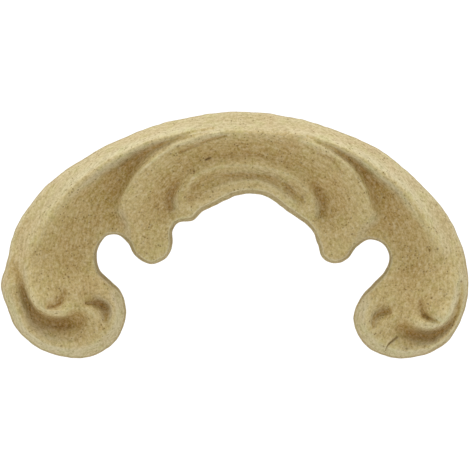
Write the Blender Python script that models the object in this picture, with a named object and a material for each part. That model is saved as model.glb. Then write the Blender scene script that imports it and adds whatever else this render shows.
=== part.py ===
"""Arched scroll applique of moulded wood pulp: one solid piece with a flat glue face on its back.

A half-round arch carries a bevelled outer band and a deep cove. At each end it rolls into a scroll with a
tongue over a hollow. A smaller arched cartouche lies over the crown, with a bead along its lower edge and a
round lobe at each end. The piece stands as it is fixed: +X to the right, +Z up, the relief towards -Y and
the flat back in the plane y = 0. The origin is on the back, behind the middle of the crown.
"""

import math

import bmesh
import bpy
import numpy as np
from mathutils import Vector
from mathutils.geometry import delaunay_2d_cdt
from mathutils.kdtree import KDTree

MM = 0.001

# Driving dimensions, in millimetres.
WALL = 1.2  # upright foot of the side wall, above the back
DRAFT = 6.0  # rise of the side wall above its foot for each millimetre inwards
ARRIS = 1.5  # rounding where the side wall meets the relief
SOFTNESS = 0.7  # how round the mould leaves every crest and valley
EASE = 0.15  # how far the skin may ease away from the lines it is stretched over

BAND_FOOT_INSET = 0.7
BAND_FOOT_HEIGHT = 3.4
BAND_FULLNESS = 0.05  # how far the bevelled band bulges above a straight slope

SHOULDER_INSET = 1.5  # where the cove's side is set, inside the band's crest
COVE_HOLLOWNESS = 1.6  # 1 gives the cove a straight side, and more a steep start under the crest

STEP_WIDTH = 1.7  # from the top of the cartouche's edge out to its foot
STEP_RISE = 0.6  # of the foot above the cove's floor, which it runs out into
STEP_START = 15.0  # the edge stands free of the band from this far either side of the crown
BROW_INSET = 0.9  # over the crown the cartouche turns down this far inside its edge
BROW_DROP = 0.6

BEAD_GROOVE_INSET = 2.3
BEAD_GROOVE_DEPTH = 1.25
BEAD_GROOVE_FADE = 0.12  # share of its length, at each end, where the groove has run out
LIP_INSET = 2.1
LIP_HEIGHT = 7.5
LIP_FADE = 0.17  # share of the underside, at its left end, where the lip has run out

RIM_FOOT_INSET = 0.7
RIM_FOOT_HEIGHT = 4.4

# How the surface is sampled, in millimetres.
EDGE_SPACING = 1.6
RING_INSETS = (0.3, 0.8, 1.5)
FIELD_SPACING = 1.05
FIELD_MARGIN = 0.6  # of the field's spacing, kept clear beside the innermost ring
KNOT_SPACING = 0.9
CLOSEST_KNOTS = 0.45
MEASURING_SPACING = 0.1  # of the points that stand for the silhouette when a distance from it is measured
SPLINE_STEPS = 24
POINTS_AT_ONCE = 2000
SHARP_ANGLE = math.radians(40)
INSIDE_THE_EDGE = 1  # the triangulation's own number for keeping only what the silhouette encloses
MERGE_DISTANCE = 1e-5

# The silhouette, clockwise from the crown as the piece is seen from the front: x, z.
OUTLINE_PARTS = {
    "right arch": [(0.0, 10.1), (13.7, 8.8), (26.3, 5.1), (36.3, 0.5), (44.3, -5.9), (51.3, -13.3),
                   (55.8, -21.0)],
    "right scroll": [(58.1, -29.0), (58.1, -36.5), (56.0, -43.3), (51.7, -48.7), (44.3, -51.4), (37.5, -51.0),
                     (31.8, -47.5), (29.7, -41.7), (31.1, -37.0)],
    "right hook": [(34.5, -33.0), (37.6, -29.8), (38.6, -26.2), (37.0, -22.8), (33.5, -21.9), (30.5, -23.7)],
    "right lobe": [(28.0, -26.8), (25.0, -27.9), (22.0, -26.7), (20.6, -22.9), (19.4, -19.8)],
    "underside": [(13.5, -15.0), (8.0, -11.2), (3.7, -10.4), (0.3, -10.9), (-5.0, -13.3), (-8.2, -14.9),
                  (-10.5, -17.1), (-14.0, -17.6)],
    "left lobe": [(-15.6, -19.6), (-15.6, -22.9), (-17.0, -26.2), (-21.0, -28.0), (-24.8, -26.2),
                  (-26.9, -22.6)],
    "left hook": [(-29.4, -20.7), (-32.4, -21.2), (-34.5, -24.8), (-34.0, -29.0), (-31.0, -32.3)],
    "left scroll": [(-28.5, -35.0), (-27.2, -40.2), (-29.0, -46.0), (-34.0, -50.3), (-40.0, -51.6),
                    (-47.5, -49.8), (-53.7, -45.5), (-57.0, -39.0), (-58.5, -33.8), (-57.2, -27.5)],
    "left arch": [(-54.9, -19.3), (-49.2, -10.6), (-42.8, -4.8), (-34.3, 0.5), (-23.7, 5.3), (-12.5, 8.5)],
}

# Crests and valleys that cross the arch: x, z and the height above the back.
BAND_CREST = [(-50.0, -25.0, 8.5), (-46.0, -16.7, 8.9), (-40.3, -9.7, 9.3), (-31.4, -2.7, 9.6),
              (-21.3, 2.2, 9.6), (-12.5, 4.5, 9.4), (-5.0, 4.6, 9.2), (6.0, 4.3, 9.1), (14.0, 3.7, 9.3),
              (21.3, 2.7, 9.5), (26.3, 0.8, 9.6), (31.3, -2.0, 9.7), (36.3, -5.6, 9.6), (41.3, -9.5, 9.3),
              (46.7, -17.0, 8.9), (51.0, -25.0, 8.5)]
LEFT_COVE_FLOOR = [(-12.0, 3.9, 9.1), (-16.3, 2.5, 8.8), (-20.3, 1.2, 7.7), (-24.4, -0.8, 6.3),
                   (-28.6, -3.9, 5.2), (-31.8, -8.2, 4.8), (-35.3, -14.0, 4.6), (-39.0, -21.5, 4.9),
                   (-41.0, -28.0, 5.6)]
RIGHT_COVE_FLOOR = [(20.1, 2.5, 9.3), (24.0, 1.1, 9.0), (28.0, -1.2, 7.9), (31.8, -4.2, 6.6),
                    (34.9, -7.5, 5.8), (37.6, -11.5, 5.2), (40.6, -17.5, 4.7), (43.7, -24.0, 4.9),
                    (45.2, -29.5, 5.6)]
CARTOUCHE_EDGE = [(-25.7, -22.0, 6.8), (-26.4, -18.0, 7.3), (-27.4, -15.7, 7.6), (-28.6, -13.5, 7.8),
                  (-27.2, -10.7, 8.2), (-25.8, -8.0, 8.5), (-22.9, -3.6, 8.9), (-19.7, -0.5, 9.3),
                  (-14.7, 1.7, 9.5), (-11.5, 2.4, 9.5), (-8.5, 3.2, 9.3), (-5.5, 3.8, 9.1),
                  (-2.5, 4.2, 9.0), (6.5, 4.0, 9.0), (11.5, 3.3, 9.0), (16.3, 2.1, 9.2), (20.1, 0.8, 9.4),
                  (24.0, -0.7, 9.4), (28.6, -3.5, 9.2), (31.6, -7.8, 8.7), (33.2, -11.9, 8.3),
                  (34.5, -15.7, 7.8), (32.0, -18.5, 7.3), (29.8, -21.5, 7.0), (28.0, -24.2, 6.4)]
CARTOUCHE_VALLEY = [(-21.0, -24.5, 6.5), (-21.3, -19.0, 7.0), (-21.0, -13.0, 7.2), (-17.0, -6.5, 7.1),
                    (-9.0, -1.9, 7.1), (1.3, -0.2, 7.0), (11.0, -1.7, 7.1), (19.5, -6.3, 7.1),
                    (27.0, -13.0, 7.2), (26.7, -19.0, 7.0), (25.2, -24.5, 6.5)]
BEAD_CREST = [(-13.3, -15.7, 6.7), (-14.2, -12.7, 7.3), (-13.5, -9.7, 7.6), (-10.5, -7.2, 7.8),
              (-5.5, -4.7, 7.9), (1.5, -3.5, 8.0), (9.0, -4.5, 8.0), (15.5, -7.7, 7.8), (19.3, -11.5, 7.5),
              (20.0, -15.5, 6.9)]
LEFT_BEAD_END = [(-15.3, -8.7, 6.1), (-16.2, -11.7, 5.3), (-15.8, -14.7, 5.4)]
RIGHT_BEAD_END = [(20.6, -9.7, 6.1), (22.0, -13.0, 5.3), (21.8, -16.5, 5.4)]
LEFT_RIM_CREST = [(-56.0, -33.3, 6.3), (-55.3, -37.0, 6.4), (-53.9, -40.7, 6.6), (-51.5, -44.7, 6.9),
                  (-47.7, -47.7, 7.2), (-43.7, -49.0, 7.4), (-38.7, -48.7, 7.4), (-34.3, -46.9, 7.4),
                  (-31.3, -43.7, 7.4), (-30.2, -40.0, 7.4), (-31.0, -36.7, 7.4), (-33.3, -34.3, 7.3)]
LEFT_RIM_SHELF = [(-54.7, -33.0, 6.4), (-54.1, -35.7, 6.4), (-53.3, -38.0, 6.3), (-52.4, -40.0, 6.2),
                  (-51.6, -42.0, 6.1), (-50.5, -43.6, 6.2)]
RIGHT_RIM_CREST = [(57.0, -32.7, 5.3), (56.6, -38.0, 5.2), (55.3, -42.0, 5.3), (53.6, -45.0, 5.5),
                   (51.3, -47.5, 6.1), (48.5, -48.9, 6.8), (43.3, -49.4, 7.3), (38.7, -48.7, 7.4),
                   (35.0, -46.3, 7.4), (33.0, -43.0, 7.4), (33.0, -39.5, 7.4), (35.3, -36.7, 7.3)]

# The carving inside a scroll, drawn for the left one from its centre: across, up and the height.
SCROLL_LINES = {
    "crease and hollow": [(-10.4, 12.5, 6.9), (-10.5, 9.2, 6.3), (-10.2, 6.0, 5.6), (-9.5, 3.0, 4.5),
                          (-7.8, 0.0, 4.0), (-5.5, -1.8, 3.7), (-2.4, -2.5, 3.6), (0.8, -2.3, 4.1),
                          (3.7, -1.9, 5.5)],
    "hollow floor": [(-4.5, -4.0, 4.8), (-1.0, -4.6, 5.2), (2.8, -4.4, 6.1)],
    "hollow side": [(-3.8, -5.9, 6.2), (-0.7, -6.4, 6.5), (3.0, -6.2, 6.8)],
    "tongue edge": [(-9.6, 12.2, 7.5), (-9.5, 9.0, 7.9), (-8.9, 5.5, 8.6), (-8.1, 3.0, 9.2), (-6.9, 1.4, 9.7),
                    (-4.8, 0.3, 9.9), (-2.5, -0.5, 10.0), (-0.3, -0.6, 9.8), (1.3, 0.2, 9.3), (3.2, 1.2, 9.0),
                    (5.3, 1.0, 8.6), (7.0, 0.3, 8.3), (8.3, -1.0, 7.9), (9.0, -3.3, 7.4)],
    "tongue back": [(-8.0, 10.0, 8.8), (-6.7, 6.5, 9.6), (-4.7, 3.8, 10.1), (-2.9, 3.7, 10.0)],
    "eye crease": [(-0.4, 5.5, 8.6), (-0.8, 3.7, 8.5), (-2.0, 2.0, 8.7), (-3.8, 1.3, 9.4)],
    "neck": [(2.0, 4.5, 9.0), (3.7, 5.7, 8.2)],
    "comma groove": [(5.2, 2.3, 7.4), (7.4, 2.4, 5.9), (9.3, 1.7, 5.1), (10.7, 0.6, 5.6), (10.8, -3.0, 6.9)],
    "brow": [(7.5, 4.8, 7.8), (10.0, 4.3, 7.4)],
    "ball": [(6.2, -5.7, 7.2)],
}
SCROLLS = {
    "left": {"centre": (-42.5, -40.0), "turn": 0.0, "side": 1, "narrowing": 0.0, "comma_fill": 0.0},
    "right": {"centre": (45.5, -42.8), "turn": math.radians(-5.7), "side": -1, "narrowing": 0.008,
              "comma_fill": 1.0},
}


def spline(rows, spacing, closed=False):
    """Evenly spaced points on a smooth curve through the rows. A row's first two numbers are its place."""
    rows = np.array(rows, float)
    if closed:
        rows = np.vstack([rows[-1:], rows, rows[:2]])
    else:
        rows = np.vstack([2 * rows[:1] - rows[1:2], rows, 2 * rows[-1:] - rows[-2:-1]])
    pieces = []
    share = np.linspace(0, 1, SPLINE_STEPS, endpoint=False)[:, None]
    for a, b, c, d in zip(rows, rows[1:], rows[2:], rows[3:]):
        ta = 0.0
        tb = ta + math.dist(a[:2], b[:2]) ** 0.5
        tc = tb + math.dist(b[:2], c[:2]) ** 0.5
        td = tc + math.dist(c[:2], d[:2]) ** 0.5
        t = tb + (tc - tb) * share
        ab = (a * (tb - t) + b * (t - ta)) / (tb - ta)
        bc = (b * (tc - t) + c * (t - tb)) / (tc - tb)
        cd = (c * (td - t) + d * (t - tc)) / (td - tc)
        abc = (ab * (tc - t) + bc * (t - ta)) / (tc - ta)
        bcd = (bc * (td - t) + cd * (t - tb)) / (td - tb)
        pieces.append((abc * (tc - t) + bcd * (t - tb)) / (tc - tb))
    line = np.vstack(pieces + [rows[-2:-1]])
    along = np.append(0, np.cumsum(np.linalg.norm(np.diff(line[:, :2], axis=0), axis=1)))
    count = max(2, round(along[-1] / spacing) + 1)
    stations = np.linspace(0, along[-1], count)
    if closed:
        stations = stations[:-1]
    return np.column_stack([np.interp(stations, along, column) for column in line.T])


def right_hand(line, closed=False):
    """Unit vectors to the right of each point of a line, which is the inner side of a clockwise outline."""
    if closed:
        ahead = np.roll(line[:, :2], -1, axis=0) - np.roll(line[:, :2], 1, axis=0)
    else:
        ahead = np.gradient(line[:, :2], axis=0)
    ahead /= np.linalg.norm(ahead, axis=1)[:, None]
    return np.column_stack([ahead[:, 1], -ahead[:, 0]])


def nearest_lookup(points):
    """A function from a place to its distance from the nearest of the points, and that point's number."""
    tree = KDTree(len(points))
    for number, point in enumerate(points):
        tree.insert((point[0], point[1], 0), number)
    tree.balance()

    def look(place):
        _, number, distance = tree.find((place[0], place[1], 0))
        return distance, number

    return look


def outline(spacing):
    """The silhouette as evenly spaced points, clockwise from the front."""
    return spline([point for part in OUTLINE_PARTS.values() for point in part], spacing, closed=True)


def stretch_of_outline(name, inset, height):
    """Knots along one named part of the silhouette, moved inwards, all at one height."""
    line = spline(OUTLINE_PARTS[name], KNOT_SPACING)
    line = line + inset * right_hand(line)
    return np.column_stack([line, np.full(len(line), height)])


def band_knots(crest, edge):
    """The bevelled band between the arch's crest and the silhouette: its foot and a line half way up."""
    look = nearest_lookup(edge)
    knots = []
    for x, z, height in crest:
        foot = edge[look((x, z))[1]]
        inwards = np.array([x, z]) - foot
        width = np.linalg.norm(inwards)
        knots.append([*(foot + inwards * (BAND_FOOT_INSET / width)), BAND_FOOT_HEIGHT])
        knots.append([*(foot + inwards / 2), (height + BAND_FOOT_HEIGHT) / 2 + BAND_FULLNESS])
    return knots


def shoulder_knots(crest, floor):
    """The side of the cove just inside the band's crest, where the crest stands clear of the cove's floor."""
    look = nearest_lookup(floor)
    knots = []
    for (x, z), height in zip(crest[:, :2] + SHOULDER_INSET * right_hand(crest), crest[:, 2]):
        gap, number = look((x, z))
        if gap > SHOULDER_INSET:
            share = (gap / (gap + SHOULDER_INSET)) ** COVE_HOLLOWNESS
            knots.append([x, z, floor[number, 2] + share * (height - floor[number, 2])])
    return knots


def cartouche_knots(floor):
    """The cartouche over the crown: its raised edge with a steep foot, its valley, bead, groove and lip."""
    edge = spline(CARTOUCHE_EDGE, KNOT_SPACING)
    look = nearest_lookup(floor)
    foot = []
    for x, z in edge[:, :2] - STEP_WIDTH * right_hand(edge):
        gap, number = look((x, z))
        if abs(x) > STEP_START and gap > STEP_WIDTH:
            foot.append([x, z, floor[number, 2] + STEP_RISE])
    brow = edge[np.abs(edge[:, 0]) < STEP_START]
    brow[:, :2] += BROW_INSET * right_hand(brow)
    brow[:, 2] -= BROW_DROP
    bead = spline(BEAD_CREST, KNOT_SPACING)
    groove = bead.copy()
    groove[:, :2] += BEAD_GROOVE_INSET * right_hand(bead)
    groove[:, 2] -= BEAD_GROOVE_DEPTH
    fade = round(BEAD_GROOVE_FADE * len(groove))
    groove = groove[fade:-fade]
    lip = stretch_of_outline("underside", LIP_INSET, LIP_HEIGHT)
    lip = lip[:-round(LIP_FADE * len(lip))]
    lines = [edge, foot, brow, spline(CARTOUCHE_VALLEY, KNOT_SPACING), bead, groove, lip]
    lines += [spline(LEFT_BEAD_END, KNOT_SPACING), spline(RIGHT_BEAD_END, KNOT_SPACING)]
    return lines


def scroll_knots(centre, turn, side, narrowing, comma_fill):
    """The lines of one scroll, placed in the piece and narrowed towards its top, its comma part filled."""
    lines = []
    for name, rows in SCROLL_LINES.items():
        line = spline(rows, KNOT_SPACING) if len(rows) > 1 else np.array(rows)
        up = line[:, 1]
        across = side * line[:, 0] * (1 - narrowing * np.maximum(up, 0))
        x = centre[0] + across * math.cos(turn) - up * math.sin(turn)
        z = centre[1] + across * math.sin(turn) + up * math.cos(turn)
        height = line[:, 2] + (comma_fill if name == "comma groove" else 0)
        lines.append(np.column_stack([x, z, height]))
    return lines


def relief_knots():
    """Every point that the relief passes through: x, z and height, with no two close together."""
    edge = outline(MEASURING_SPACING)
    crest = spline(BAND_CREST, KNOT_SPACING)
    floor = np.vstack([spline(LEFT_COVE_FLOOR, KNOT_SPACING), spline(RIGHT_COVE_FLOOR, KNOT_SPACING)])
    lines = [crest, floor]
    for scroll in SCROLLS.values():
        lines += scroll_knots(**scroll)
    lines += cartouche_knots(floor)
    lines.append(shoulder_knots(crest, floor))
    lines.append(band_knots(crest, edge))
    lines += [spline(rows, KNOT_SPACING) for rows in (LEFT_RIM_CREST, LEFT_RIM_SHELF, RIGHT_RIM_CREST)]
    for name in ("right scroll", "left scroll"):
        lines.append(stretch_of_outline(name, RIM_FOOT_INSET, RIM_FOOT_HEIGHT))
    kept = []
    for knot in np.vstack(lines):
        if all(math.dist(knot[:2], other[:2]) > CLOSEST_KNOTS for other in kept):
            kept.append(knot)
    return np.array(kept)


def radial(gaps):
    """The skin's influence at the given squared distances."""
    return np.sqrt(gaps + SOFTNESS ** 2)


def fitted_skin(knots):
    """A function giving the height of the smooth skin through the knots at an array of places."""
    places, heights = knots[:, :2], knots[:, 2]
    count = len(knots)
    gaps = ((places[:, None] - places[None]) ** 2).sum(2)
    plane = np.column_stack([np.ones(count), places])
    matrix = np.block([[radial(gaps) - EASE * np.eye(count), plane], [plane.T, np.zeros((3, 3))]])
    weights = np.linalg.solve(matrix, np.append(heights, np.zeros(3)))

    def skin(points):
        heights = []
        for part in np.array_split(points, max(1, len(points) // POINTS_AT_ONCE)):
            gaps = ((part[:, None] - places[None]) ** 2).sum(2)
            heights.append(radial(gaps) @ weights[:count] + weights[count] + part @ weights[count + 1:])
        return np.concatenate(heights)

    return skin


def softer_of(a, b, rounding):
    """The lower of two heights, with a round corner where they meet."""
    mix = np.clip(0.5 + (b - a) / (2 * rounding), 0, 1)
    return b + (a - b) * mix - rounding * mix * (1 - mix)


def sheet_points(edge, look):
    """Places for the mesh: the silhouette, rings inside it that carry the side wall, and an even field."""
    inwards = right_hand(edge, closed=True)
    places = [tuple(point) for point in edge]
    for inset in RING_INSETS:
        for point in edge + inset * inwards:
            if look(point)[0] > inset - MEASURING_SPACING / 4:
                places.append(tuple(point))
    low, high = edge.min(0), edge.max(0)
    rise = FIELD_SPACING * math.sqrt(3) / 2
    for row in range(int((high[1] - low[1]) / rise) + 1):
        start = low[0] + (row % 2) * FIELD_SPACING / 2
        for column in range(int((high[0] - low[0]) / FIELD_SPACING) + 1):
            place = (start + column * FIELD_SPACING, low[1] + row * rise)
            if look(place)[0] > RING_INSETS[-1] + FIELD_MARGIN * FIELD_SPACING:
                places.append(place)
    return places


def relief_sheet():
    """The carved front as a triangulated mesh, from the silhouette inwards, in metres."""
    edge = outline(EDGE_SPACING)
    look = nearest_lookup(outline(MEASURING_SPACING))
    places = [Vector(place) for place in sheet_points(edge, look)]
    result = delaunay_2d_cdt(places, [], [list(range(len(edge)))], INSIDE_THE_EDGE, MERGE_DISTANCE)
    flat, faces = np.array([tuple(v) for v in result[0]]), result[2]
    inset = np.array([look(place)[0] for place in flat])
    skin = fitted_skin(relief_knots())(flat)
    height = softer_of(skin, WALL + DRAFT * inset, ARRIS)
    height[:len(edge)] = WALL
    points = np.column_stack([flat[:, 0], -height, flat[:, 1]]) * MM
    mesh = bpy.data.meshes.new("applique")
    mesh.from_pydata(points.tolist(), [], faces)
    return mesh


def close_to_back(mesh):
    """Carries the sheet's edge back to the plane y = 0 and closes the flat back."""
    shape = bmesh.new()
    shape.from_mesh(mesh)
    bmesh.ops.delete(shape, geom=[v for v in shape.verts if not v.link_faces], context="VERTS")
    rim = [e for e in shape.edges if e.is_boundary]
    made = bmesh.ops.extrude_edge_only(shape, edges=rim)["geom"]
    for vertex in (v for v in made if isinstance(v, bmesh.types.BMVert)):
        vertex.co.y = 0
    foot = [e for e in made if isinstance(e, bmesh.types.BMEdge) and e.is_boundary]
    bmesh.ops.contextual_create(shape, geom=foot)
    bmesh.ops.recalc_face_normals(shape, faces=shape.faces)
    shape.to_mesh(mesh)
    shape.free()


def pulp_material():
    """Pressed wood pulp, pale straw brown and dull."""
    material = bpy.data.materials.new("wood pulp")
    material.use_nodes = True
    shader = material.node_tree.nodes["Principled BSDF"]
    shader.inputs["Base Color"].default_value = (0.53, 0.41, 0.21, 1)
    shader.inputs["Roughness"].default_value = 0.85
    shader.inputs["Metallic"].default_value = 0.0
    return material


def build():
    for obj in list(bpy.data.objects):
        bpy.data.objects.remove(obj)
    collection = bpy.data.collections.new("Arched scroll applique")
    bpy.context.scene.collection.children.link(collection)
    mesh = relief_sheet()
    close_to_back(mesh)
    mesh.shade_smooth()
    mesh.set_sharp_from_angle(angle=SHARP_ANGLE)
    mesh.materials.append(pulp_material())
    collection.objects.link(bpy.data.objects.new("applique", mesh))


build()
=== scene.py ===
"""Looks of the arched scroll applique: pressed wood pulp with its grain, pits, cracks and tool marks.

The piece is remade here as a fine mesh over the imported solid, from the same named lines, in millimetres
until it is built. Everything is procedural and comes out the same each run.
"""

import math
import random

import bmesh
import bpy
import numpy as np
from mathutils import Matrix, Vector, noise
from mathutils.geometry import delaunay_2d_cdt
from mathutils.kdtree import KDTree


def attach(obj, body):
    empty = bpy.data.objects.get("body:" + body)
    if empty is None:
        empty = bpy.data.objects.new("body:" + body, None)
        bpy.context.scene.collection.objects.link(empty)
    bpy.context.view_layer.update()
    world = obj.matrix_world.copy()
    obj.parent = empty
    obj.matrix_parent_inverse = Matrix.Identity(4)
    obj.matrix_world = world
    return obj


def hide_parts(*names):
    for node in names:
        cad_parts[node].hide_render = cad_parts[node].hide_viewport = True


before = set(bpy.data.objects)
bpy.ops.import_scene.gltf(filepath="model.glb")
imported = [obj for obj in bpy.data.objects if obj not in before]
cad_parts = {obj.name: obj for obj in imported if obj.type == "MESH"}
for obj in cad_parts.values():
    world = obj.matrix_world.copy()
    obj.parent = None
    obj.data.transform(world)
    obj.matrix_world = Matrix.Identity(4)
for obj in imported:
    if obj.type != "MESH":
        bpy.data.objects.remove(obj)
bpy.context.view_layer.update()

MM = 0.001
PIXEL = 0.25  # one pixel of the photograph, in millimetres
CROWN_PIXEL = (235, 152)  # the pixel of the photograph that shows the origin
IMAGE_SIDE = 470

# Driving dimensions, in millimetres.
WALL = 1.2  # upright foot of the side wall, above the back
DRAFT = 6.0  # rise of the side wall above its foot for each millimetre inwards
ARRIS = 1.5  # rounding where the side wall meets the relief
SOFTNESS = 0.5  # how round the mould leaves every crest and valley
EASE = 0.08  # how far the skin may ease away from the lines it is stretched over

BAND_FOOT_INSET = 0.7
BAND_FOOT_HEIGHT = 3.4
BAND_FULLNESS = 0.05  # how far the bevelled band bulges above a straight slope

SHOULDER_INSET = 1.5  # where the cove's side is set, inside the band's crest
COVE_HOLLOWNESS = 1.6  # 1 gives the cove a straight side, and more a steep start under the crest

STEP_WIDTH = 1.7  # from the top of the cartouche's edge out to its foot
STEP_RISE = 0.6  # of the foot above the cove's floor, which it runs out into
STEP_START = 15.0  # the edge stands free of the band from this far either side of the crown
BROW_INSET = 0.9  # over the crown the cartouche turns down this far inside its edge
BROW_DROP = 0.6

BEAD_GROOVE_INSET = 2.3
BEAD_GROOVE_DEPTH = 1.25
BEAD_GROOVE_FADE = 0.12  # share of its length, at each end, where the groove has run out
LIP_INSET = 2.1
LIP_HEIGHT = 7.5
LIP_FADE = 0.17  # share of the underside, at its left end, where the lip has run out

RIM_FOOT_INSET = 0.7
RIM_FOOT_HEIGHT = 4.4

# How the surface is sampled, in millimetres.
EDGE_SPACING = 0.26
RING_INSETS = (0.1, 0.25, 0.45)
FIELD_SPACING = 0.235
FIELD_MARGIN = 0.6  # of the field's spacing, kept clear beside the innermost ring
RING_SLACK = 0.025  # by this much a ring's point may lie nearer to the silhouette than the ring's inset
KNOT_SPACING = 0.9
CLOSEST_KNOTS = 0.45
MEASURING_SPACING = 0.1  # of the points that stand for the silhouette when a distance from it is measured
SPLINE_STEPS = 24
POINTS_AT_ONCE = 2000
SHARP_ANGLE = math.radians(50)
WALL_ROWS = (0.8, 0.4, 0.0)  # heights of the upright wall's lower rows
INSIDE_THE_EDGE = 1  # the triangulation's own number for keeping only what the silhouette encloses
MERGE_DISTANCE = 1e-5

# Pits, lumps and the uneven silhouette, in millimetres.
PIT_SEED = 7
SMALL_PITS = 1600
SMALL_PIT_DEPTH = (0.08, 0.3)
SMALL_PIT_WIDTH = (0.12, 0.28)
PIECE_ROWS = (110, 360)  # the rows of the photograph that the piece spans
LUMPS = ((3.5, 0.10), (1.5, 0.06), (0.7, 0.035))  # size across and depth of the pulp's lumps
LUMP_DROP = 0.1  # how far the lumps' mean lies below the smooth relief
MARKS_START = 0.5  # the marks fade in over this width from the silhouette
DENT_REACH = 3.0  # half-widths at which a dent has run out
EDGE_WOBBLE = ((5.0, 0.16), (1.8, 0.1))  # size along the silhouette and depth of its waves

# The ground around a place, averaged over a soft disc on a raster, from which hollows and creases are told
# for the painted shade and highlight.
RASTER = 0.25
OPEN_GROUND = 3.0  # height that is reckoned for the ground outside the piece
GROUND_MARGIN = 3.0  # how much open ground the raster takes in, in reaches
DISC_REACH = 2.5  # reaches at which a soft disc has run out
CREASE_REACH = 0.9  # reach of the disc that tells creases from ridges
HOLLOW_REACH = 4.5  # reach of the disc that tells hollows from raised ground
EDGE_CALM = 3.0  # hollows and creases fade in over this width from the silhouette
EDGE_HOLLOW = -1.3  # how hollow the silhouette itself counts, which is raised
SHEEN_RIM_REACH = (5.5, 7.5)  # the painted sheen on the outer slopes ends between these distances from the silhouette

# Colours of the pulp and of the painted light and shade, and where the bevel's painted sheen and the pits'
# painted shade start and are full.
PULP = (0.66, 0.525, 0.235, 1)
# Painted sheen of the light on the outer slopes near the silhouette.
BEVEL_SHEEN = (0.70, 0.62, 0.38, 1)
# Painted highlight on convex crests and thin ridges.
RIDGE_HIGHLIGHT = (0.78, 0.685, 0.39, 1)
# Painted shade on the steep side walls.
WALL_SHADE = (0.71, 0.64, 0.49, 1)
# Painted shade in the hollows.
HOLLOW_SHADE = (0.77, 0.65, 0.47, 1)
# Painted shade in the concave creases.
CREASE_SHADE = (0.87, 0.77, 0.60, 1)
ROSY = (1.0, 0.93, 0.93, 1)
GREENISH = (0.95, 1.0, 0.88, 1)
DARK_PULP = (0.62, 0.56, 0.48, 1)
LIGHT_PULP = (0.80, 0.70, 0.46, 1)
# Dark of the pulp's specks, also laid on as painted shade in pits and cracks.
SPECK_AND_PIT_SHADE = (0.22, 0.14, 0.045, 1)
BEVEL_SHEEN_RANGE = (0.1, 0.45)  # slope, from flat at 0 to upright at 1, over which the painted sheen comes in
PIT_SHADE_RANGE = (0.08, 0.45)  # depth in millimetres at which the painted shade in pits and cracks starts and is full
PIT_SHADE_SHARE = 0.7

# Painted light and shade from the shape, in order: the mesh's value, where the tint starts and where it is
# full, its full share, the tint and how it is laid on. The first two paint highlight on crests and thin
# ridges, the others paint shade on steep walls, in hollows and in creases.
SHAPE_SHADE_AND_HIGHLIGHT = [("crease", (-0.12, -0.5), 0.5, RIDGE_HIGHLIGHT, "MIX"),
               ("ridge_highlight", (0.1, 0.5), 0.6, RIDGE_HIGHLIGHT, "MIX"),
               ("slope", (0.68, 0.80), 1.0, WALL_SHADE, "MULTIPLY"),
               ("hollow", (-1.8, 1.4), 1.0, HOLLOW_SHADE, "MULTIPLY"),
               ("crease", (0.0, 0.8), 1.0, CREASE_SHADE, "MULTIPLY")]

# Noise in the pulp: lumps per millimetre, detail and roughness.
NOISES = {"blotch": (0.10, 2, 0.6), "drift": (0.28, 3, 0.6), "mottle": (1.0, 3, 0.7), "grain": (1.9, 2, 0.7),
          "fibre": (1.7, 2, 0.65), "scatter": (0.5, 1, 0.6)}
# What the noise does to the colour, in the same terms.
NOISE_TINTS = [("blotch", (0.48, 0.65), 0.6, ROSY, "MULTIPLY"),
               ("drift", (0.48, 0.65), 0.8, GREENISH, "MULTIPLY"),
               ("mottle", (0.5, 0.7), 0.5, DARK_PULP, "MULTIPLY"),
               ("mottle", (0.5, 0.3), 0.35, LIGHT_PULP, "MIX"),
               ("grain", (0.5, 0.72), 0.55, DARK_PULP, "MULTIPLY"),
               ("grain", (0.5, 0.28), 0.42, LIGHT_PULP, "MIX"),
               ("fibre", (0.52, 0.7), 0.4, DARK_PULP, "MULTIPLY"),
               ("fibre", (0.48, 0.3), 0.34, LIGHT_PULP, "MIX")]
SPECK_CELLS = 1.1  # specks per millimetre, of which only those stay where the scatter allows
SPECK_RANGE = (0.3, 0.12)  # distance from a speck's middle where its dark starts and is full, in cells
SCATTER_RANGE = (0.5, 0.6)  # scatter at which specks start and are all there
SPECK_SHARE = 0.85
MOTTLE_RANGE = (0.3, 0.7)  # mottle at the lower and the higher roughness
ROUGHNESS = (0.8, 0.97)
GLOSS = 0.1
BUMP_STRENGTH = 0.6
COARSE_BUMP = 0.12  # depth of the mottle's bumps, in millimetres
FINE_BUMP = 0.05  # depth of the grain's bumps, in millimetres

# The fibres, which follow the arch, in millimetres and as a share.
ARCH_CENTRE = -30.0  # height of the arch's centre
FIBRE_STRETCH = 0.36  # how fast the fibres change along the arch, against across it

# The studio: distances in metres, and the surround's brightness in each direction.
CAMERA_DISTANCE = 1.8
CAMERA_REACH = 20.0
SENSOR_WIDTH = 36.0  # in millimetres
FOCUS_HEIGHT = 3.0  # height of the relief, in millimetres, at which the camera's scale is true
FLOOR_SIDE = 2.4
FLOOR_HEIGHT = -0.14
FLOOR_COLOUR = (0.72, 0.72, 0.72, 1)
FLOOR_ROUGHNESS = 0.9
WHITE = (1, 1, 1, 1)
RING_SHARPNESS = 8.0  # how closely the light from the top and the sides keeps to the plane of the piece
SURROUND_LIGHT = {"all round": 0.26, "top": 2.25, "left": 0.66, "right": 0.42, "behind": 0.12,
                  "front": 0.45}
SURROUND_TILT = 0.35  # how much brighter the light from all round is overhead, and darker from below
SURROUND_SEEN = 1.1  # brightness of the surround where the camera sees it

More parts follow.
